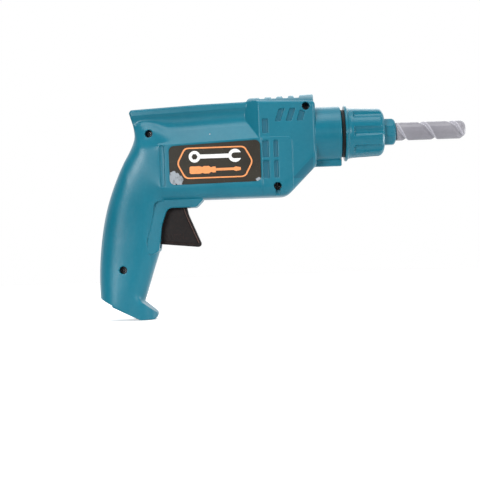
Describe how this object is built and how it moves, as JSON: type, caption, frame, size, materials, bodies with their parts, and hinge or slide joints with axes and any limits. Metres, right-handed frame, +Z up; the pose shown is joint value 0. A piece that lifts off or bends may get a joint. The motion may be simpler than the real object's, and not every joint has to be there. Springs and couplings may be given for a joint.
{
  "type": "toy power drill",
  "caption": "Toy pistol-grip drill: squeezing the trigger turns the chuck and blunt bit through a small gear train inside a clamshell case.",
  "frame": {"origin": "on the spindle axis, halfway along the round collar behind the chuck", "axes": "+X along the spindle towards the bit, +Z up, the parting plane of the case is Y = 0"},
  "size_m": [0.2807, 0.044, 0.1656],
  "materials": {
    "case": "satin moulded",
    "chuck": "satin moulded",
    "trigger_plastic": "satin black",
    "bit_plastic": "pearl grey",
    "label": "printed film",
    "gear_plastic": "natural nylon",
    "bush_plastic": "black acetal",
    "pin_steel": "drawn",
    "spring_steel": "drawn wire",
    "screw_steel": "zinc plated"
  },
  "bodies": {
    "case": {"right_shell": "case", "left_shell": "case", "shell_screws": "screw_steel", "right_label": "label", "left_label": "label", "trigger_pin": "pin_steel", "trigger_spring": "spring_steel", "reduction_axle": "pin_steel", "crown_axle": "pin_steel", "rear_bush": "bush_plastic", "front_bush": "bush_plastic"},
    "trigger": {"trigger": "trigger_plastic"},
    "reduction_gear": {"reduction_gear": "gear_plastic"},
    "crown_gear": {"crown_gear": "gear_plastic"},
    "chuck": {"spindle": "pin_steel", "spindle_pinion": "gear_plastic", "retaining_clip": "spring_steel", "thrust_washer": "pin_steel", "dust_ring": "bush_plastic", "chuck_core": "chuck", "chuck_pin": "pin_steel", "chuck_sleeve": "chuck", "drill_bit": "bit_plastic"}
  },
  "joints": [
    {"name": "trigger_squeeze", "type": "hinge", "parent": "case", "child": "trigger", "pos_m": [-0.118, 0, -0.037], "axis": [0, 1, 0], "range_deg": [0, 20], "stiffness_Nm_per_rad": 0.05, "springref_deg": -14.9, "deforming": ["trigger_spring"]},
    {"name": "reduction_spin", "type": "hinge", "parent": "case", "child": "reduction_gear", "pos_m": [-0.09552, 0, -0.01713], "axis": [0, 1, 0], "range_deg": [-81, 1]},
    {"name": "crown_spin", "type": "hinge", "parent": "case", "child": "crown_gear", "pos_m": [-0.09, 0, 0], "axis": [0, 1, 0], "range_deg": [-1, 161]},
    {"name": "chuck_spin", "type": "hinge", "parent": "case", "child": "chuck", "pos_m": [0, 0, 0], "axis": [1, 0, 0], "range_deg": [-2, 268]}
  ],
  "couplings": [
    {"joint": "reduction_spin", "follows": "trigger_squeeze", "ratio": -4},
    {"joint": "crown_spin", "follows": "trigger_squeeze", "ratio": 8},
    {"joint": "chuck_spin", "follows": "trigger_squeeze", "ratio": 13.333}
  ]
}
